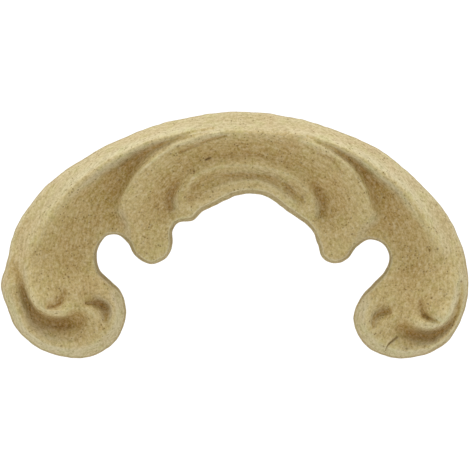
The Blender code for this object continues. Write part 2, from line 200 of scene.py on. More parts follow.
# The silhouette, clockwise from the crown as the piece is seen from the front: x, z.
OUTLINE_PARTS = {
    "right arch": [(0.0, 10.1), (13.7, 8.8), (26.3, 5.1), (36.3, 0.5), (44.3, -5.9), (51.3, -13.3),
                   (55.8, -21.0)],
    "right scroll": [(58.1, -29.0), (58.1, -36.5), (56.0, -43.3), (51.7, -48.7), (44.3, -51.4), (37.5, -51.0),
                     (31.8, -47.5), (29.7, -41.7), (31.1, -37.0)],
    "right hook": [(34.5, -33.0), (37.6, -29.8), (38.6, -26.2), (37.0, -22.8), (33.5, -21.9), (30.5, -23.7)],
    "right lobe": [(28.0, -26.8), (25.0, -27.9), (22.0, -26.7), (20.6, -22.9), (19.4, -19.8)],
    "underside": [(13.5, -15.0), (8.0, -11.2), (3.7, -10.4), (0.3, -10.9), (-5.0, -13.3), (-8.2, -14.9),
                  (-10.5, -17.1), (-14.0, -17.6)],
    "left lobe": [(-15.6, -19.6), (-15.6, -22.9), (-17.0, -26.2), (-21.0, -28.0), (-24.8, -26.2),
                  (-26.9, -22.6)],
    "left hook": [(-29.4, -20.7), (-32.4, -21.2), (-34.5, -24.8), (-34.0, -29.0), (-31.0, -32.3)],
    "left scroll": [(-28.5, -35.0), (-27.2, -40.2), (-29.0, -46.0), (-34.0, -50.3), (-40.0, -51.6),
                    (-47.5, -49.8), (-53.7, -45.5), (-57.0, -39.0), (-58.5, -33.8), (-57.2, -27.5)],
    "left arch": [(-54.9, -19.3), (-49.2, -10.6), (-42.8, -4.8), (-34.3, 0.5), (-23.7, 5.3), (-12.5, 8.5)],
}

# Crests and valleys that cross the arch: x, z and the height above the back.
BAND_CREST = [(-50.0, -25.0, 8.5), (-46.0, -16.7, 8.9), (-40.3, -9.7, 9.3), (-31.4, -2.7, 9.6),
              (-21.3, 2.2, 9.6), (-12.5, 4.5, 9.4), (-5.0, 4.6, 9.2), (6.0, 4.3, 9.1), (14.0, 3.7, 9.3),
              (21.3, 2.7, 9.5), (26.3, 0.8, 9.6), (31.3, -2.0, 9.7), (36.3, -5.6, 9.6), (41.3, -9.5, 9.3),
              (46.7, -17.0, 8.9), (51.0, -25.0, 8.5)]
LEFT_COVE_FLOOR = [(-12.0, 3.9, 9.1), (-16.3, 2.5, 8.8), (-20.3, 1.2, 7.7), (-24.4, -0.8, 6.3),
                   (-28.6, -3.9, 5.2), (-31.8, -8.2, 4.8), (-35.3, -14.0, 4.6), (-39.0, -21.5, 4.9),
                   (-41.0, -28.0, 5.6)]
RIGHT_COVE_FLOOR = [(20.1, 2.5, 9.3), (24.0, 1.1, 9.0), (28.0, -1.2, 7.9), (31.8, -4.2, 6.6),
                    (34.9, -7.5, 5.8), (37.6, -11.5, 5.2), (40.6, -17.5, 4.7), (43.7, -24.0, 4.9),
                    (45.2, -29.5, 5.6)]
CARTOUCHE_EDGE = [(-25.7, -22.0, 6.8), (-26.4, -18.0, 7.3), (-27.4, -15.7, 7.6), (-28.6, -13.5, 7.8),
                  (-27.2, -10.7, 8.2), (-25.8, -8.0, 8.5), (-22.9, -3.6, 8.9), (-19.7, -0.5, 9.3),
                  (-14.7, 1.7, 9.5), (-11.5, 2.4, 9.5), (-8.5, 3.2, 9.3), (-5.5, 3.8, 9.1),
                  (-2.5, 4.2, 9.0), (6.5, 4.0, 9.0), (11.5, 3.3, 9.0), (16.3, 2.1, 9.2), (20.1, 0.8, 9.4),
                  (24.0, -0.7, 9.4), (28.6, -3.5, 9.2), (31.6, -7.8, 8.7), (33.2, -11.9, 8.3),
                  (34.5, -15.7, 7.8), (32.0, -18.5, 7.3), (29.8, -21.5, 7.0), (28.0, -24.2, 6.4)]
CARTOUCHE_VALLEY = [(-21.0, -24.5, 6.5), (-21.3, -19.0, 7.0), (-21.0, -13.0, 7.2), (-17.0, -6.5, 7.1),
                    (-9.0, -1.9, 7.1), (1.3, -0.2, 7.0), (11.0, -1.7, 7.1), (19.5, -6.3, 7.1),
                    (27.0, -13.0, 7.2), (26.7, -19.0, 7.0), (25.2, -24.5, 6.5)]
BEAD_CREST = [(-13.3, -15.7, 6.7), (-14.2, -12.7, 7.3), (-13.5, -9.7, 7.6), (-10.5, -7.2, 7.8),
              (-5.5, -4.7, 7.9), (1.5, -3.5, 8.0), (9.0, -4.5, 8.0), (15.5, -7.7, 7.8), (19.3, -11.5, 7.5),
              (20.0, -15.5, 6.9)]
LEFT_BEAD_END = [(-15.3, -8.7, 6.1), (-16.2, -11.7, 5.3), (-15.8, -14.7, 5.4)]
RIGHT_BEAD_END = [(20.6, -9.7, 6.1), (22.0, -13.0, 5.3), (21.8, -16.5, 5.4)]
LEFT_RIM_CREST = [(-56.0, -33.3, 6.3), (-55.3, -37.0, 6.4), (-53.9, -40.7, 6.6), (-51.5, -44.7, 6.9),
                  (-47.7, -47.7, 7.2), (-43.7, -49.0, 7.4), (-38.7, -48.7, 7.4), (-34.3, -46.9, 7.4),
                  (-31.3, -43.7, 7.4), (-30.2, -40.0, 7.4), (-31.0, -36.7, 7.4), (-33.3, -34.3, 7.3)]
LEFT_RIM_SHELF = [(-54.7, -33.0, 6.4), (-54.1, -35.7, 6.4), (-53.3, -38.0, 6.3), (-52.4, -40.0, 6.2),
                  (-51.6, -42.0, 6.1), (-50.5, -43.6, 6.2)]
RIGHT_RIM_CREST = [(57.0, -32.7, 5.3), (56.6, -38.0, 5.2), (55.3, -42.0, 5.3), (53.6, -45.0, 5.5),
                   (51.3, -47.5, 6.1), (48.5, -48.9, 6.8), (43.3, -49.4, 7.3), (38.7, -48.7, 7.4),
                   (35.0, -46.3, 7.4), (33.0, -43.0, 7.4), (33.0, -39.5, 7.4), (35.3, -36.7, 7.3)]

# The carving inside a scroll, drawn for the left one from its centre: across, up and the height.
SCROLL_LINES = {
    "crease and hollow": [(-10.4, 12.5, 6.9), (-10.5, 9.2, 6.3), (-10.2, 6.0, 5.6), (-9.5, 3.0, 4.5),
                          (-7.8, 0.0, 4.0), (-5.5, -1.8, 3.7), (-2.4, -2.5, 3.6), (0.8, -2.3, 4.1),
                          (3.7, -1.9, 5.5)],
    "hollow floor": [(-4.5, -4.0, 4.8), (-1.0, -4.6, 5.2), (2.8, -4.4, 6.1)],
    "hollow side": [(-3.8, -5.9, 6.2), (-0.7, -6.4, 6.5), (3.0, -6.2, 6.8)],
    "tongue edge": [(-9.6, 12.2, 7.5), (-9.5, 9.0, 7.9), (-8.9, 5.5, 8.6), (-8.1, 3.0, 9.2), (-6.9, 1.4, 9.7),
                    (-4.8, 0.3, 9.9), (-2.5, -0.5, 10.0), (-0.3, -0.6, 9.8), (1.3, 0.2, 9.3), (3.2, 1.2, 9.0),
                    (5.3, 1.0, 8.6), (7.0, 0.3, 8.3), (8.3, -1.0, 7.9), (9.0, -3.3, 7.4)],
    "tongue back": [(-8.0, 10.0, 8.8), (-6.7, 6.5, 9.6), (-4.7, 3.8, 10.1), (-2.9, 3.7, 10.0)],
    "eye crease": [(-0.4, 5.5, 8.6), (-0.8, 3.7, 8.5), (-2.0, 2.0, 8.7), (-3.8, 1.3, 9.4)],
    "neck": [(2.0, 4.5, 9.0), (3.7, 5.7, 8.2)],
    "comma groove": [(5.2, 2.3, 7.4), (7.4, 2.4, 5.9), (9.3, 1.7, 5.1), (10.7, 0.6, 5.6), (10.8, -3.0, 6.9)],
    "brow": [(7.5, 4.8, 7.8), (10.0, 4.3, 7.4)],
    "ball": [(6.2, -5.7, 7.2)],
}
# The two scrolls: where the lines are set, how far they are turned, which way they face, how much they
# narrow with each millimetre upwards and by how much the comma is shallower than drawn.
SCROLLS = {
    "left": {"centre": (-42.5, -40.0), "turn": 0.0, "side": 1, "narrowing": 0.0, "comma_fill": 0.0},
    "right": {"centre": (45.5, -42.8), "turn": math.radians(-5.7), "side": -1, "narrowing": 0.008,
              "comma_fill": 1.0},
}

# Strokes cut or pressed into the surface: pixels of the photograph, depth and half-width in millimetres.
STROKES = {
    "left crown groove": ([(180, 152.5), (188, 148.8), (200, 143.9), (212, 139.3), (226, 135.8)], 0.65, 0.35),
    "left crown crease": ([(160, 145), (175, 139), (187, 134.5), (200, 131.5), (214, 129.5)], 0.3, 0.4),
    "right crown groove": ([(318, 153.5), (326, 157), (332, 160), (338, 167), (342, 173)], 0.55, 0.4),
    "right crown crease": ([(306, 136.5), (315, 140.5), (330, 146.5), (340, 152)], 0.25, 0.4),
    "right crown scratches": ([(330, 165), (338, 171), (345, 175)], 0.25, 0.3),
    "groove over the bead": ([(181, 178), (188, 169), (200, 161), (218, 157), (240, 155), (262, 156),
                              (285, 161), (302, 168), (313, 178)], 0.2, 0.8),
    "groove under the bead": ([(196, 186), (205, 179), (216, 176), (236, 174.5), (256, 175), (272, 178),
                               (284, 184), (293, 192)], 0.5, 0.6),
    "left curl": ([(65, 290.5), (63.5, 296.5), (61, 301.5)], 0.5, 0.65),
    "mouth of the left curl": ([(61, 303), (56, 306.2), (48, 307.5)], 0.7, 0.42),
    "under the left curl": ([(50, 308.5), (56, 308.6), (64, 308.2)], 0.45, 0.35),
    "left comma": ([(86, 303.5), (92, 303), (98, 302.5)], 0.8, 0.45),
    "bend of the left comma": ([(98, 302.5), (103, 304.5), (107, 308.5)], 0.8, 0.85),
    "tail of the left comma": ([(107, 309), (107.5, 314), (105.5, 320)], 0.4, 0.8),
    "right curl": ([(419.5, 300), (421, 308), (424, 315)], 0.5, 0.42),
    "mouth of the right curl": ([(423, 315.5), (427.5, 318.5), (433, 320.5), (439, 321.5)], 1.2, 0.7),
    "right comma": ([(373, 328), (373.2, 320), (376.5, 314.5), (382, 312), (388, 312)], 0.7, 0.75),
    "left crease": ([(22, 284), (24.5, 292), (28.5, 301), (33, 308.5)], 0.35, 0.45),
    "right crease": ([(460.3, 283), (460.3, 291), (459, 300), (456.5, 308)], 0.5, 0.45),
    "left bead end": ([(177, 183), (172, 191), (170, 200), (171, 207)], 0.9, 0.9),
    "right bead end": ([(314, 185), (320, 195), (322, 205), (321, 214)], 0.9, 0.9),
    "left small hollow": ([(72, 314), (78, 314), (84, 316)], 0.5, 1.0),
    "right small hollow": ([(399, 325), (405, 326)], 0.4, 1.0),
}
# Thin ridges that the mould left standing, in the same terms, with their height for the depth.
RIDGES = {
    "left crown ridge": ([(146, 167), (152, 162), (160, 156), (175, 146), (187, 142), (200, 137.5),
                          (212, 134.5), (222, 132.5)], 0.5, 0.55),
    "right crown ridge": ([(300, 140.5), (315, 145.5), (330, 153), (345, 163.5), (352, 170)], 0.5, 0.55),
    "left side of the cartouche": ([(146, 166), (136, 176), (128, 188), (122.5, 199)], 0.35, 0.6),
    "right side of the cartouche": ([(352, 170), (360, 181), (365.5, 192), (369.5, 203)], 0.35, 0.6),
    "bead": ([(188, 186), (194, 177), (203, 171.5), (216, 168), (236, 165.5), (254, 166), (272, 170),
              (288, 175), (299, 182), (306, 190)], 0.4, 0.6),
    "lip": ([(214, 190), (226, 184.5), (240, 182), (258, 182), (272, 187), (282, 194), (292, 202)], 0.4, 0.6),
    "left tongue's lip": ([(43, 309.5), (50, 310.4), (57, 310.5), (64, 310.5)], 0.3, 0.35),
    "right tongue's lip": ([(430, 327.5), (436, 326), (441, 323)], 0.3, 0.5),
}
# Cracks, in the same terms. Painted shade darkens them inside by their depth.
CRACKS = {
    "scroll crack": ([(396, 337.5), (391.5, 341), (387.5, 345), (385.5, 349.5)], 0.5, 0.17),
    "branch of the crack": ([(397, 337), (394.5, 338.5), (392, 341)], 0.5, 0.28),
    "tear": ([(205.5, 160), (208, 159), (210.5, 158)], 0.6, 0.25),
}
# Larger pits: pixel, depth and half-width in millimetres.
PITS = [((194, 171.5), 0.5, 0.35), ((178, 147), 0.45, 0.3), ((352, 234), 0.4, 0.3), ((429.5, 250), 0.5, 0.25),
        ((437, 249), 0.5, 0.3), ((406.5, 348.5), 0.5, 0.3), ((431, 298), 0.5, 0.25), ((66, 274.5), 0.4, 0.25),
        ((69, 277), 0.5, 0.25), ((461, 281.5), 0.5, 0.3), ((425, 325), 0.4, 0.3), ((427, 317), 0.4, 0.35),
        ((119.5, 180), 0.4, 0.3), ((302, 197), 0.4, 0.35), ((286, 188), 0.35, 0.3), ((323.5, 204), 0.4, 0.45),
        ((319, 176), 0.3, 0.3)]


def spline(rows, spacing, closed=False):
    """Evenly spaced points on a smooth curve through the rows. A row's first two numbers are its place."""
    rows = np.array(rows, float)
    if closed:
        rows = np.vstack([rows[-1:], rows, rows[:2]])
    else:
        rows = np.vstack([2 * rows[:1] - rows[1:2], rows, 2 * rows[-1:] - rows[-2:-1]])
    pieces = []
    share = np.linspace(0, 1, SPLINE_STEPS, endpoint=False)[:, None]
    for a, b, c, d in zip(rows, rows[1:], rows[2:], rows[3:]):
        ta = 0.0
        tb = ta + math.dist(a[:2], b[:2]) ** 0.5
        tc = tb + math.dist(b[:2], c[:2]) ** 0.5
        td = tc + math.dist(c[:2], d[:2]) ** 0.5
        t = tb + (tc - tb) * share
        ab = (a * (tb - t) + b * (t - ta)) / (tb - ta)
        bc = (b * (tc - t) + c * (t - tb)) / (tc - tb)
        cd = (c * (td - t) + d * (t - tc)) / (td - tc)
        abc = (ab * (tc - t) + bc * (t - ta)) / (tc - ta)
        bcd = (bc * (td - t) + cd * (t - tb)) / (td - tb)
        pieces.append((abc * (tc - t) + bcd * (t - tb)) / (tc - tb))
    line = np.vstack(pieces + [rows[-2:-1]])
    along = np.append(0, np.cumsum(np.linalg.norm(np.diff(line[:, :2], axis=0), axis=1)))
    count = max(2, round(along[-1] / spacing) + 1)
    stations = np.linspace(0, along[-1], count)
    if closed:
        stations = stations[:-1]
    return np.column_stack([np.interp(stations, along, column) for column in line.T])


def right_hand(line, closed=False):
    """Unit vectors to the right of each point of a line, which is the inner side of a clockwise outline."""
    if closed:
        ahead = np.roll(line[:, :2], -1, axis=0) - np.roll(line[:, :2], 1, axis=0)
    else:
        ahead = np.gradient(line[:, :2], axis=0)
    ahead /= np.linalg.norm(ahead, axis=1)[:, None]
    return np.column_stack([ahead[:, 1], -ahead[:, 0]])


def nearest_lookup(points):
    """A function from a place to its distance from the nearest of the points, and that point's number."""
    tree = KDTree(len(points))
    for number, point in enumerate(points):
        tree.insert((point[0], point[1], 0), number)
    tree.balance()

    def look(place):
        _, number, distance = tree.find((place[0], place[1], 0))
        return distance, number

    return look


def outline(spacing):
    """The silhouette as evenly spaced points, clockwise from the front."""
    return spline([point for part in OUTLINE_PARTS.values() for point in part], spacing, closed=True)


def stretch_of_outline(name, inset, height):
    """Knots along one named part of the silhouette, moved inwards, all at one height."""
    line = spline(OUTLINE_PARTS[name], KNOT_SPACING)
    line = line + inset * right_hand(line)
    return np.column_stack([line, np.full(len(line), height)])


def band_knots(crest, edge):
    """The bevelled band between the arch's crest and the silhouette: its foot and a line half way up."""
    look = nearest_lookup(edge)
    knots = []
    for x, z, height in crest:
        foot = edge[look((x, z))[1]]
        inwards = np.array([x, z]) - foot
        width = np.linalg.norm(inwards)
        knots.append([*(foot + inwards * (BAND_FOOT_INSET / width)), BAND_FOOT_HEIGHT])
        knots.append([*(foot + inwards / 2), (height + BAND_FOOT_HEIGHT) / 2 + BAND_FULLNESS])
    return knots


def shoulder_knots(crest, floor):
    """The side of the cove just inside the band's crest, where the crest stands clear of the cove's floor."""
    look = nearest_lookup(floor)
    knots = []
    for (x, z), height in zip(crest[:, :2] + SHOULDER_INSET * right_hand(crest), crest[:, 2]):
        gap, number = look((x, z))
        if gap > SHOULDER_INSET:
            share = (gap / (gap + SHOULDER_INSET)) ** COVE_HOLLOWNESS
            knots.append([x, z, floor[number, 2] + share * (height - floor[number, 2])])
    return knots


def cartouche_knots(floor):
    """The cartouche over the crown: its raised edge with a steep foot, its valley, bead, groove and lip."""
    edge = spline(CARTOUCHE_EDGE, KNOT_SPACING)
    look = nearest_lookup(floor)
    foot = []
    for x, z in edge[:, :2] - STEP_WIDTH * right_hand(edge):
        gap, number = look((x, z))
        if abs(x) > STEP_START and gap > STEP_WIDTH:
            foot.append([x, z, floor[number, 2] + STEP_RISE])
    brow = edge[np.abs(edge[:, 0]) < STEP_START]
    brow[:, :2] += BROW_INSET * right_hand(brow)
    brow[:, 2] -= BROW_DROP
    bead = spline(BEAD_CREST, KNOT_SPACING)
    groove = bead.copy()
    groove[:, :2] += BEAD_GROOVE_INSET * right_hand(bead)
    groove[:, 2] -= BEAD_GROOVE_DEPTH
    fade = round(BEAD_GROOVE_FADE * len(groove))
    groove = groove[fade:-fade]
    lip = stretch_of_outline("underside", LIP_INSET, LIP_HEIGHT)
    lip = lip[:-round(LIP_FADE * len(lip))]
    lines = [edge, foot, brow, spline(CARTOUCHE_VALLEY, KNOT_SPACING), bead, groove, lip]
    lines += [spline(LEFT_BEAD_END, KNOT_SPACING), spline(RIGHT_BEAD_END, KNOT_SPACING)]
    return lines


def scroll_knots(centre, turn, side, narrowing, comma_fill):
    """The lines of one scroll, placed in the piece and narrowed towards its top, its comma part filled."""
    lines = []
    for name, rows in SCROLL_LINES.items():
        line = spline(rows, KNOT_SPACING) if len(rows) > 1 else np.array(rows)
        up = line[:, 1]
        across = side * line[:, 0] * (1 - narrowing * np.maximum(up, 0))
        x = centre[0] + across * math.cos(turn) - up * math.sin(turn)
        z = centre[1] + across * math.sin(turn) + up * math.cos(turn)
        height = line[:, 2] + (comma_fill if name == "comma groove" else 0)
        lines.append(np.column_stack([x, z, height]))
    return lines


def relief_knots():
    """Every point that the relief passes through: x, z and height, with no two close together."""
    edge = outline(MEASURING_SPACING)
    crest = spline(BAND_CREST, KNOT_SPACING)
    floor = np.vstack([spline(LEFT_COVE_FLOOR, KNOT_SPACING), spline(RIGHT_COVE_FLOOR, KNOT_SPACING)])
    lines = [crest, floor]
    for scroll in SCROLLS.values():
        lines += scroll_knots(**scroll)
    lines += cartouche_knots(floor)
    lines.append(shoulder_knots(crest, floor))
    lines.append(band_knots(crest, edge))
    lines += [spline(rows, KNOT_SPACING) for rows in (LEFT_RIM_CREST, LEFT_RIM_SHELF, RIGHT_RIM_CREST)]
    for name in ("right scroll", "left scroll"):
        lines.append(stretch_of_outline(name, RIM_FOOT_INSET, RIM_FOOT_HEIGHT))
    kept = []
    for knot in np.vstack(lines):
        if all(math.dist(knot[:2], other[:2]) > CLOSEST_KNOTS for other in kept):
            kept.append(knot)
    return np.array(kept)


def radial(gaps):
    """The skin's influence at the given squared distances."""
    return np.sqrt(gaps + SOFTNESS ** 2)


def fitted_skin(knots):
    """A function giving the height of the smooth skin through the knots at an array of places."""
    places, heights = knots[:, :2], knots[:, 2]
    count = len(knots)
    gaps = ((places[:, None] - places[None]) ** 2).sum(2)
    plane = np.column_stack([np.ones(count), places])
    matrix = np.block([[radial(gaps) - EASE * np.eye(count), plane], [plane.T, np.zeros((3, 3))]])
    weights = np.linalg.solve(matrix, np.append(heights, np.zeros(3)))

    def skin(points):
        heights = []
        for part in np.array_split(points, max(1, len(points) // POINTS_AT_ONCE)):
            gaps = ((part[:, None] - places[None]) ** 2).sum(2)
            heights.append(radial(gaps) @ weights[:count] + weights[count] + part @ weights[count + 1:])
        return np.concatenate(heights)

    return skin


def softer_of(a, b, rounding):
    """The lower of two heights, with a round corner where they meet."""
    mix = np.clip(0.5 + (b - a) / (2 * rounding), 0, 1)
    return b + (a - b) * mix - rounding * mix * (1 - mix)


def sheet_points(edge, look):
    """Places for the mesh: the silhouette, rings inside it that carry the side wall, and an even field."""
    inwards = right_hand(edge, closed=True)
    places = [tuple(point) for point in edge]
    for inset in RING_INSETS:
        for point in edge + inset * inwards:
            if look(point)[0] > inset - RING_SLACK:
                places.append(tuple(point))
    low, high = edge.min(0), edge.max(0)
    rise = FIELD_SPACING * math.sqrt(3) / 2
    for row in range(int((high[1] - low[1]) / rise) + 1):
        start = low[0] + (row % 2) * FIELD_SPACING / 2
        for column in range(int((high[0] - low[0]) / FIELD_SPACING) + 1):
            place = (start + column * FIELD_SPACING, low[1] + row * rise)
            if look(place)[0] > RING_INSETS[-1] + FIELD_MARGIN * FIELD_SPACING:
                places.append(place)
    return places


def from_pixel(pixel):
    """The place in the piece, in millimetres, that a pixel of the photograph shows."""
    return (pixel[0] - CROWN_PIXEL[0]) * PIXEL, (CROWN_PIXEL[1] - pixel[1]) * PIXEL


def small_pits():
    """Small pits at random places all over, as dents."""
    chance = random.Random(PIT_SEED)
    pits = []
    for _ in range(SMALL_PITS):
        pixel = (chance.uniform(0, IMAGE_SIDE), chance.uniform(*PIECE_ROWS))
        pits.append(((pixel,), chance.uniform(*SMALL_PIT_DEPTH), chance.uniform(*SMALL_PIT_WIDTH)))
    return pits


def dents_depth(places, dents):
    """How deep the dents go at each place. A dent is a line or spot in pixels, its depth and half-width."""
    depth = np.zeros(len(places))
    for pixels, deep, width in dents:
        line = np.array([from_pixel(pixel) for pixel in pixels])
        if len(line) > 1:
            line = spline(line, MEASURING_SPACING)
        low, high = line.min(0) - DENT_REACH * width, line.max(0) + DENT_REACH * width
        near = np.flatnonzero(np.all((places > low) & (places < high), axis=1))
        if len(near):
            gaps = np.sqrt(((places[near][:, None] - line[None]) ** 2).sum(2)).min(1)
            depth[near] = np.maximum(depth[near], deep * np.exp(-(gaps / width) ** 2))
    return depth


def waves(places, sizes):
    """Noise at each place in several sizes, each size with its own strength."""
    total = np.zeros(len(places))
    for size, strength in sizes:
        total += strength * np.array([noise.noise((x / size, z / size, size)) for x, z in places])
    return total


def hollowness(places, height, reach):
    """How far each place lies below the ground around it, averaged over a soft disc of that reach."""
    margin = GROUND_MARGIN * reach
    low = places.min(0) - margin
    cells = np.ceil((places.max(0) + margin - low) / RASTER).astype(int) + 1
    at = (places - low) / RASTER
    near = np.round(at).astype(int)
    total, count = np.zeros(cells), np.zeros(cells)
    np.add.at(total, (near[:, 0], near[:, 1]), height)
    np.add.at(count, (near[:, 0], near[:, 1]), 1)
    ground = np.where(count > 0, total / np.maximum(count, 1), OPEN_GROUND)
    steps = math.ceil(DISC_REACH * reach / RASTER)
    span = np.arange(-steps, steps + 1) * RASTER
    weight = np.exp(-(span / reach) ** 2)
    weight /= weight.sum()
    for axis in (0, 1):
        ground = np.apply_along_axis(np.convolve, axis, ground, weight, mode="same")
    corner = np.floor(at).astype(int)
    share = at - corner
    mean = np.zeros(len(places))
    for i in (0, 1):
        for j in (0, 1):
            part = np.abs(1 - i - share[:, 0]) * np.abs(1 - j - share[:, 1])
            mean += part * ground[corner[:, 0] + i, corner[:, 1] + j]
    return mean - height


def uneven_outline(spacing):
    """The silhouette with the slight waves of an edge that was pressed and trimmed."""
    edge = outline(spacing)
    return edge + waves(edge, EDGE_WOBBLE)[:, None] * right_hand(edge, closed=True)


def triangulated(edge, look):
    """The sheet as places and triangles, with only the points that the triangles use."""
    places = [Vector(place) for place in sheet_points(edge, look)]
    result = delaunay_2d_cdt(places, [], [list(range(len(edge)))], INSIDE_THE_EDGE, MERGE_DISTANCE)
    faces = np.array(result[2])
    used = np.unique(faces)
    number = np.zeros(len(result[0]), int)
    number[used] = np.arange(len(used))
    return np.array([tuple(v) for v in result[0]])[used], number[faces].tolist()


def unevenness(flat, inset, ridges, pits):
    """How far lumps, strokes, ridges and pits lift each place. They fade in from the silhouette."""
    strokes = dents_depth(flat, list(STROKES.values()))
    away = np.clip(inset / MARKS_START, 0, 1)
    return away * (waves(flat, LUMPS) - LUMP_DROP + ridges - np.maximum(strokes, pits))


def shades(flat, height, inset, ridges, pits):
    """What the material reads from the mesh, by name: a value for each place, which steers the painted shade,
    highlight and sheen.
    """
    calm = np.clip(inset / EDGE_CALM, 0, 1)
    hollow = EDGE_HOLLOW + calm * (hollowness(flat, height, HOLLOW_REACH) - EDGE_HOLLOW)
    # Where the painted sheen on the outer slopes may lie: near the silhouette.
    sheen_rim = np.clip((SHEEN_RIM_REACH[1] - inset) / (SHEEN_RIM_REACH[1] - SHEEN_RIM_REACH[0]), 0, 1)
    return {"crease": calm * hollowness(flat, height, CREASE_REACH), "hollow": hollow, "pit": pits,
            "sheen_rim": sheen_rim, "ridge_highlight": ridges}


def wall_and_back(edge, first):
    """The side wall's points below the silhouette, numbered from the first, with its faces and the back."""
    rows, faces = [], []
    ring = list(range(len(edge)))
    for row in WALL_ROWS:
        rows.append(np.column_stack([edge[:, 0], np.full(len(edge), -row), edge[:, 1]]))
        below = list(range(first, first + len(edge)))
        for i in range(len(edge)):
            j = (i + 1) % len(edge)
            faces.append([ring[i], ring[j], below[j], below[i]])
        ring, first = below, first + len(edge)
    return np.vstack(rows), faces + [ring]


def fine_mesh():
    """The finished piece: the relief from the silhouette inwards, the side wall and the flat back."""
    edge = uneven_outline(EDGE_SPACING)
    look = nearest_lookup(uneven_outline(MEASURING_SPACING))
    flat, faces = triangulated(edge, look)
    inset = np.array([look(place)[0] for place in flat])
    height = softer_of(fitted_skin(relief_knots())(flat), WALL + DRAFT * inset, ARRIS)
    height[:len(edge)] = WALL
    ridges = dents_depth(flat, list(RIDGES.values()))
    named_pits = [((pixel,), deep, width) for pixel, deep, width in PITS]
    pits = dents_depth(flat, list(CRACKS.values()) + named_pits + small_pits())
    height = height + unevenness(flat, inset, ridges, pits)
    wall, wall_faces = wall_and_back(edge, len(flat))
    points = np.vstack([np.column_stack([flat[:, 0], -height, flat[:, 1]]), wall])
    mesh = bpy.data.meshes.new("applique_pulp")
    mesh.from_pydata((points * MM).tolist(), [], faces + wall_faces)
    # The wall and the back take the values of the silhouette's first point.
    for name, values in shades(flat, height, inset, ridges, pits).items():
        layer = mesh.attributes.new(name, "FLOAT", "POINT")
        layer.data.foreach_set("value", np.concatenate([values, np.full(len(wall), values[0])]))
    shape = bmesh.new()
    shape.from_mesh(mesh)
    bmesh.ops.triangulate(shape, faces=[f for f in shape.faces if len(f.verts) > 3])
    bmesh.ops.recalc_face_normals(shape, faces=shape.faces)
    shape.to_mesh(mesh)
    shape.free()
    # How steep each place is, for the painted sheen on the slopes and the painted shade on the walls.
    slope = mesh.attributes.new("slope", "FLOAT", "POINT")
    slope.data.foreach_set("value", [1 - abs(normal.vector.y) for normal in mesh.vertex_normals])
    mesh.shade_smooth()
    mesh.set_sharp_from_angle(angle=SHARP_ANGLE)
    return mesh


def feed(tree, socket, value):
    """Links the socket to the value where that is another node's result, and otherwise sets it."""
    if isinstance(value, bpy.types.NodeSocket):
        tree.links.new(value, socket)
    else:
        socket.default_value = value


def node(tree, kind, **values):
    """A new shader node, with its settings by attribute name and its inputs as name=value in 'inputs'."""
    made = tree.nodes.new(kind)
    inputs = values.pop("inputs", {})
    for name, value in values.items():
        setattr(made, name, value)
    for name, value in inputs.items():
        feed(tree, made.inputs[name], value)
    return made


def noise_value(tree, name, place):
    """The value of one of the named noises."""
    scale, detail, roughness = NOISES[name]
    made = node(tree, "ShaderNodeTexNoise", inputs={
        "Vector": place, "Scale": scale / MM, "Detail": detail, "Roughness": roughness})
    return made.outputs["Fac"]


def mapped(tree, value, low, high, to_low=0.0, to_high=1.0):
    """The value rescaled from low..high to to_low..to_high, and held there."""
    made = node(tree, "ShaderNodeMapRange", inputs={
        "Value": value, "From Min": low, "From Max": high, "To Min": to_low, "To Max": to_high})
    return made.outputs["Result"]


def tinted(tree, share, below, above, blend="MIX"):
    """The colour below, with the colour above laid over it by the share."""
    made = node(tree, "ShaderNodeMix", data_type="RGBA", blend_type=blend)
    for name, kind, value in (("Factor", "VALUE", share), ("A", "RGBA", below), ("B", "RGBA", above)):
        feed(tree, [s for s in made.inputs if s.name == name and s.type == kind][0], value)
    return [s for s in made.outputs if s.type == "RGBA"][0]


def reckoned(tree, operation, *values):
    """The result of a mathematical operation on one to three values."""
    made = node(tree, "ShaderNodeMath", operation=operation)
    for socket, value in zip(made.inputs, values):
        feed(tree, socket, value)
    return made.outputs[0]


def attribute(tree, name):
    """The value of one of the mesh's own attributes."""
    return node(tree, "ShaderNodeAttribute", attribute_name=name).outputs["Fac"]


def along_arch(tree, place):
    """The place unrolled about the arch's centre, so that what is laid in it runs along the arch."""
    x, y, z = node(tree, "ShaderNodeSeparateXYZ", inputs={"Vector": place}).outputs
    rise = reckoned(tree, "SUBTRACT", z, ARCH_CENTRE * MM)
    turn = reckoned(tree, "ARCTAN2", x, rise)
    rise_squared = reckoned(tree, "MULTIPLY", rise, rise)
    radius = reckoned(tree, "SQRT", reckoned(tree, "MULTIPLY_ADD", x, x, rise_squared))
    along = reckoned(tree, "MULTIPLY", turn, -ARCH_CENTRE * MM * FIBRE_STRETCH)
    unrolled = node(tree, "ShaderNodeCombineXYZ", inputs={"X": along, "Y": radius, "Z": y})
    return unrolled.outputs["Vector"]


